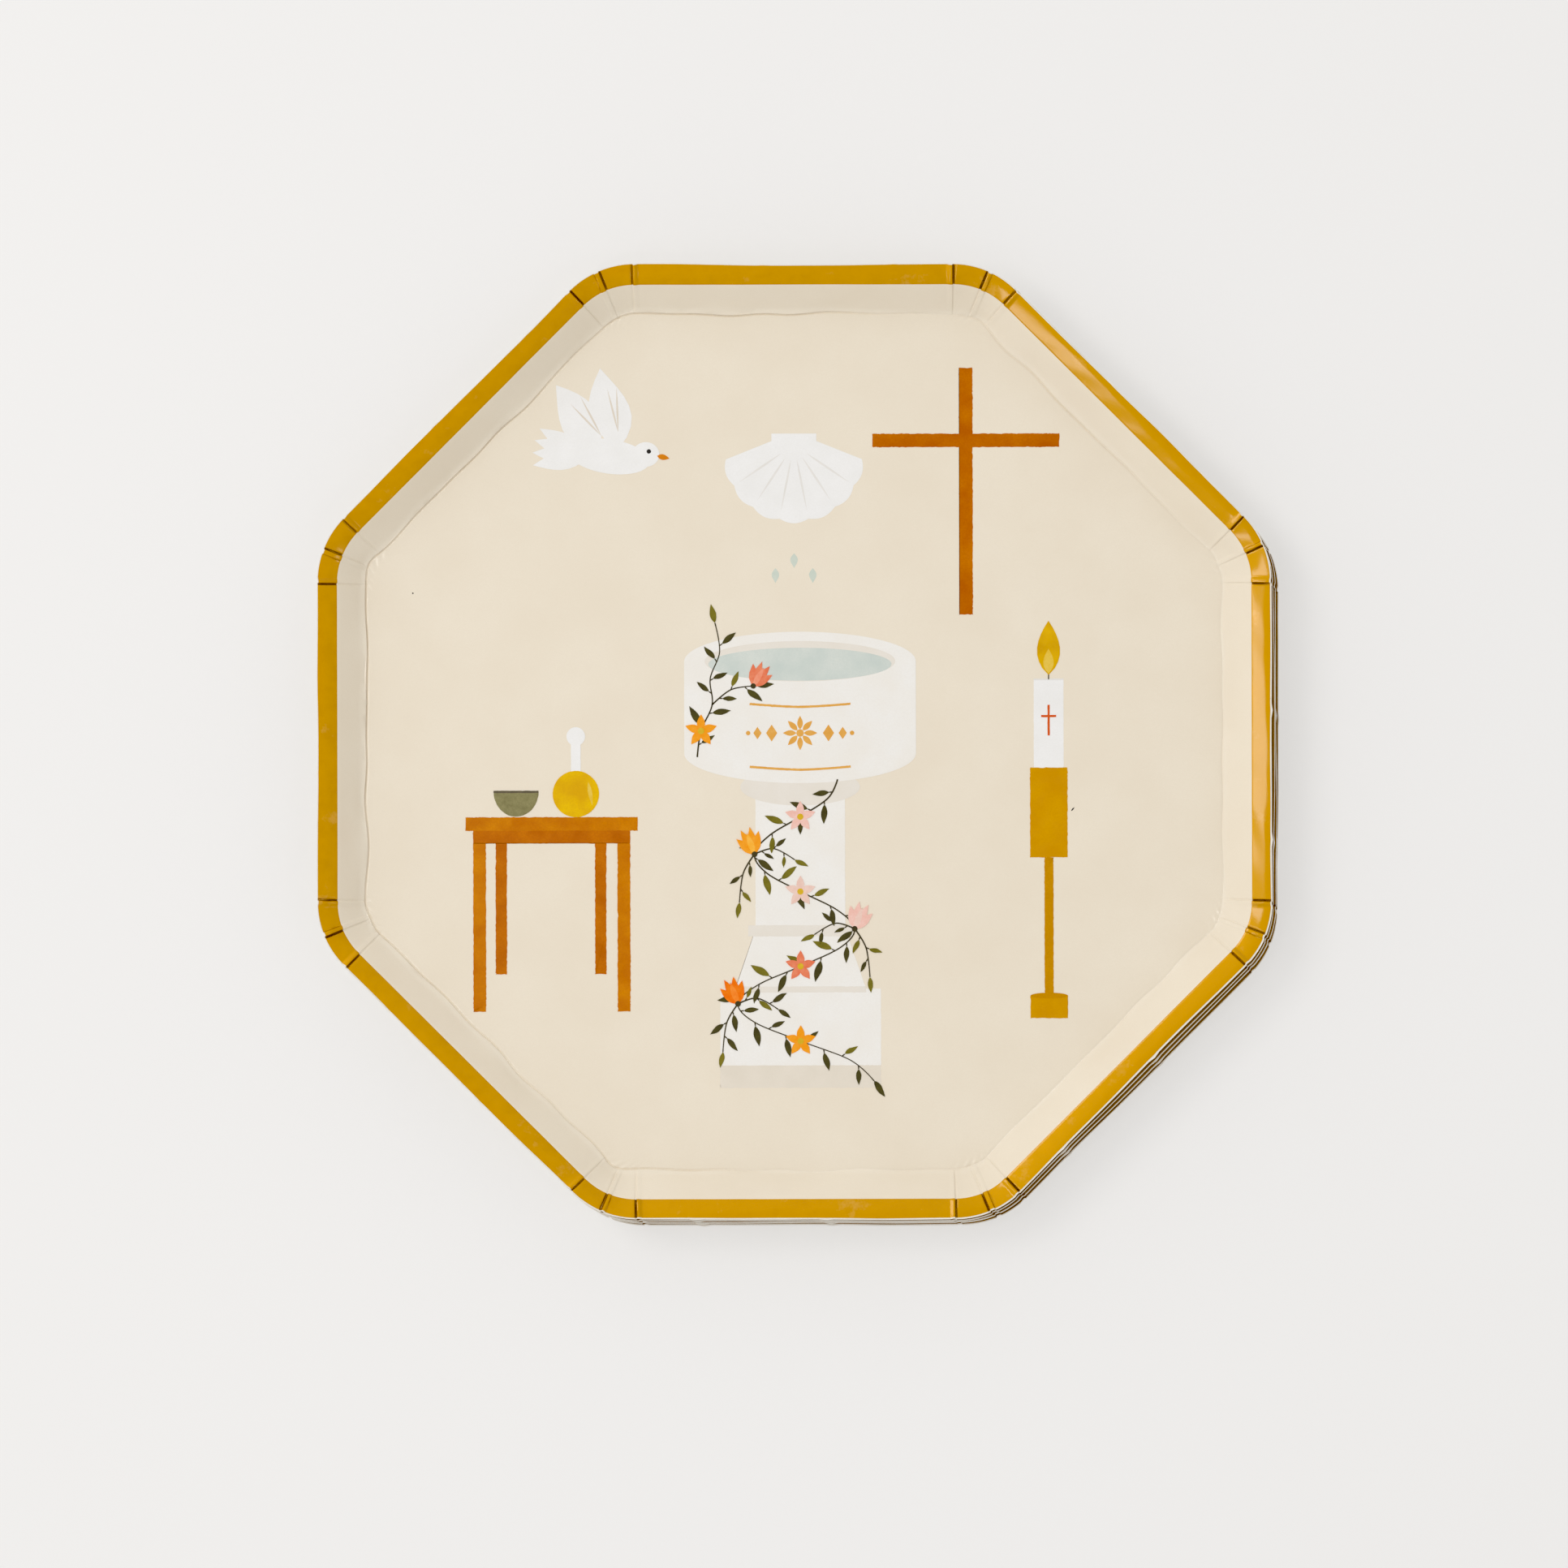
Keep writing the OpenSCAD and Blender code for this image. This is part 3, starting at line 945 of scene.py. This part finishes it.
def vine(ink):
    """A flowering vine round the font's stem, with twigs at its turns, and a sprig on the basin."""
    v = Vine("vine", ink, seed=3)
    sprig = [(-26, -4), (-25, 3), (-22, 10), (-22.5, 17), (-20, 24), (-21, 31)]
    v.stem(sprig, gap=4.6, size=4.6, skip=3)
    v.stem([(-22, 10), (-17, 14), (-11, 15)], gap=3.6, size=4.2, skip=2)
    v.blossom(-25, 3, 4.4, ink.orange)
    v.tulip(-11, 15, 60, 6.6, ink.coral, ink.coral_light)
    turns = 4
    points = 4  # in each turn
    share = np.linspace(0, 1, turns * points + 1)
    swing = 10 + 9 * share
    across = FONT_X + swing * np.cos(share * turns * math.pi)
    winding = np.stack([across, -10 - 80 * share], axis=1)
    v.stem([tuple(point) for point in winding], gap=4.6, size=4.6, skip=3)
    tones = ((ink.orange, ink.orange_light), (ink.pink, ink.blush), (ink.deep_orange, ink.deep_orange_light))
    for i in range(1, turns):
        side = math.cos(i * math.pi)
        x, y = winding[i * points]
        v.stem([(x, y), (x + side * 3, y - 5), (x + side * 4, y - 12)], gap=3.4, size=3.8, skip=2)
        v.stem([(x, y), (x - side * 5, y + 1.5), (x - side * 10, y - 1)], gap=3.4, size=3.6, skip=2)
        v.tulip(x, y, 90 - side * 20, 7, *tones[i - 1])
    for i, tone in enumerate((ink.pink, ink.blush, ink.coral, ink.orange)):
        x, y = winding[i * points + points // 2]
        v.blossom(x, y, 4.2, tone)
    return v.print


def specks(ink):
    """Two stray specks in the print."""
    p = Print("specks")
    p.ink(petal(74, -18.6, 50, length=1.3, width=0.35), 1, ink.dark)
    p.ink(oval(-102, 40, across=0.2, high=0.2), 1, ink.dark)
    return p


# ------------------------------------------------ putting the plates together

STEEP = 0.5  # a polygon whose normal rises less than this stands steeply
EDGE_ZONE = 1.5  # the cut edge is within this of the top


def plate_place(plate):
    """Where a plate's middle and underside are, from its packed board, and how it is turned."""
    low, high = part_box(f"{plate}_board")
    number = int(plate.rsplit("_", 1)[1])
    return Vector(((low.x + high.x) / 2, (low.y + high.y) / 2, low.z)), TWIST * ((number - 1) % 2)


def put(name, mesh, plate, slot_name, *nodes):
    """Makes a piece that lies in a plate's place, rides on it and stands for CAD nodes."""
    piece = bpy.data.objects.new(name, mesh)
    scene.collection.objects.link(piece)
    place, turn = plate_place(plate)
    piece.location = place
    piece.rotation_euler = (0, 0, turn)
    bpy.context.view_layer.update()
    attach(piece, plate)
    if nodes:
        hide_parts(*nodes)


def edge_faces(mesh):
    """Numbers of the polygons on the board's cut edge: the steep ones near the top."""
    found = []
    for polygon in mesh.polygons:
        if abs(polygon.normal.z) < STEEP and polygon.center.z > (HEIGHT - EDGE_ZONE) * MM:
            found.append(polygon.index)
    return found


def add_plate(plate, ink):
    """The board, printed face and foil of one plate."""
    board = sheet_mesh(f"{plate}_board_mesh", plate, 0, LAST, FACE, SHEET, True)
    board.materials.append(ink.board)
    board.materials.append(ink.edge)
    for index in edge_faces(board):
        board.polygons[index].material_index = 1
    put(f"{plate}_pressed_board", board, plate, "board", f"{plate}_board")
    face = sheet_mesh(f"{plate}_face_mesh", plate, 0, BORDER, 0, FACE, True)
    face.materials.append(ink.cream)
    put(f"{plate}_cream_face", face, plate, "printed_face", f"{plate}_printed_face")
    foil = sheet_mesh(f"{plate}_foil_mesh", plate, BORDER, FOIL_END, 0, FACE, False)
    foil.materials.append(ink.foil)
    put(f"{plate}_gold_rim", foil, plate, "foil_rim", f"{plate}_foil_rim")


def add_print(ink):
    """The same picture on every plate."""
    for draw in (dove, shell, cross, font, ornament, table, vessels, candle, vine, specks):
        motif = draw(ink)
        mesh = motif.mesh()
        for plate in PLATES:
            put(f"{plate}_print_{motif.name}", mesh, plate, "printed_face")


# ------------------------------------------------ studio

VIEW_WIDTH = 417.3  # what the picture spans at the height of the top lip
CAMERA_DISTANCE = 1800.0
CAMERA_AT = (-5.05, -9.2)
SENSOR = 36.0
FARTHEST = 20  # metres that the camera sees
BLACK = 0.022  # what the picture shows as black

# place and size in metres, power in watts and colour of each soft lamp
LAMPS = {
    "window": ((-1.01, 0.58, 1.5), (0.7, 0.7), 6.6, (1, 0.985, 0.96)),
    "softbox_left": ((-0.54, 0.02, 1.35), (0.12, 0.58), 1.2, (1, 0.98, 0.97)),
    "softbox_front": ((-0.431, -0.332, 1.35), (0.065, 0.58), 0.66, (1, 0.98, 0.97)),
    "softbox_right": ((0.5, -0.2, 1.35), (0.05, 0.3), 0.3, (1, 0.98, 0.97)),
}

ROOM = 0.72  # mean brightness of the room
WINDOW_SIDE = (-0.75, 0.66, 0)
ROOM_TILT = 0.14  # how much brighter it is towards the window, and darker away from it, as a share
ROOM_LOW = 1.3  # how many times brighter it is low down than overhead
LOW_END = 0.9  # how high, as the sine of the angle, that extra light reaches
HOOD = 0.3  # brightness of the dark hood round the camera, as a share
HOOD_START = 15  # degrees from straight up at which the hood begins
HOOD_FULL = 7  # and at which it is fully dark

GLOW = 0.36  # light that comes up through the table top, which keeps the shadow pale
GROUND_HALF = 3.0  # half the width of the table top, in metres
GROUND_GAP = 0.2  # the table top lies this far under the stack, so that no two faces share a plane


def add_camera(top):
    """A long lens straight above the stack."""
    data = bpy.data.cameras.new("camera")
    data.sensor_width = SENSOR
    data.lens = SENSOR * CAMERA_DISTANCE / VIEW_WIDTH
    data.clip_end = FARTHEST
    camera = bpy.data.objects.new("camera", data)
    camera.location = (CAMERA_AT[0] * MM, CAMERA_AT[1] * MM, top + CAMERA_DISTANCE * MM)
    scene.collection.objects.link(camera)
    scene.camera = camera


def add_panel(name, place, size, power, colour):
    """A soft lamp that shines at the middle of the stack."""
    data = bpy.data.lights.new(name, "AREA")
    data.shape = "RECTANGLE"
    data.size, data.size_y = size
    data.energy = power
    data.color = colour
    lamp = bpy.data.objects.new(name, data)
    lamp.location = place
    lamp.rotation_euler = Vector(place).to_track_quat("Z", "Y").to_euler()
    lamp.visible_camera = False
    scene.collection.objects.link(lamp)


def add_world():
    """An even pale room, brighter towards the window, with a dark hood overhead where the camera hangs."""
    world = bpy.data.worlds.new("room")
    scene.world = world
    world.use_nodes = True
    tree = world.node_tree
    background = tree.nodes["Background"]
    background.inputs["Color"].default_value = (1.0, 0.995, 0.985, 1)
    place = tree.nodes.new("ShaderNodeTexCoord")

    def towards(direction, low, high, dark, light):
        """A brightness that goes from dark to light as a direction comes nearer to the given one."""
        dot = tree.nodes.new("ShaderNodeVectorMath")
        dot.operation = "DOT_PRODUCT"
        dot.inputs[1].default_value = Vector(direction).normalized()
        tree.links.new(place.outputs["Generated"], dot.inputs[0])
        spread = tree.nodes.new("ShaderNodeMapRange")
        spread.inputs["From Min"].default_value = low
        spread.inputs["From Max"].default_value = high
        spread.inputs["To Min"].default_value = dark
        spread.inputs["To Max"].default_value = light
        tree.links.new(dot.outputs["Value"], spread.inputs["Value"])
        return spread.outputs["Result"]

    overhead = (0, 0, 1)
    hood_start = math.cos(math.radians(HOOD_START))
    hood_full = math.cos(math.radians(HOOD_FULL))
    total = towards(WINDOW_SIDE, -1, 1, ROOM * (1 - ROOM_TILT), ROOM * (1 + ROOM_TILT))
    hood = towards(overhead, hood_start, hood_full, 1, HOOD)
    low = towards(overhead, 0, LOW_END, ROOM_LOW, 1)
    for factor in (hood, low):
        product = tree.nodes.new("ShaderNodeMath")
        product.operation = "MULTIPLY"
        tree.links.new(total, product.inputs[0])
        tree.links.new(factor, product.inputs[1])
        total = product.outputs[0]
    tree.links.new(total, background.inputs["Strength"])


def add_ground():
    """A pale light table under the stack."""
    half = GROUND_HALF
    low = -GROUND_GAP * MM
    mesh = bpy.data.meshes.new("ground")
    corners = [(-half, -half, low), (half, -half, low), (half, half, low), (-half, half, low)]
    mesh.from_pydata(corners, [], [(0, 1, 2, 3)])
    ground = bpy.data.objects.new("ground", mesh)
    scene.collection.objects.link(ground)
    f = Finish("ground_paper")
    clouds = f.noise(300, 2)
    colour = f.mix(clouds, linear(189, 188, 187), linear(191, 190, 189))
    roughness = f.between(clouds, 0, 1, 0.8, 0.9)
    f.set(specular_ior_level=0.1, emission_color=(1, 0.99, 0.98, 1), emission_strength=GLOW)
    mesh.materials.append(f.finish(colour, roughness, f.noise(1.5, 2), 0.002))


def add_studio():
    """Camera, lights, room and ground."""
    top = max(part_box(f"{plate}_board")[1].z for plate in PLATES)
    add_camera(top)
    add_world()
    for name, (place, size, power, colour) in LAMPS.items():
        add_panel(name, place, size, power, colour)
    add_ground()
    scene.view_settings.view_transform = "Standard"
    scene.view_settings.use_curve_mapping = True
    scene.view_settings.curve_mapping.black_level = (BLACK, BLACK, BLACK)
    scene.view_settings.curve_mapping.update()


finishes = Palette()
for plate in PLATES:
    add_plate(plate, finishes)
add_print(finishes)
add_studio()
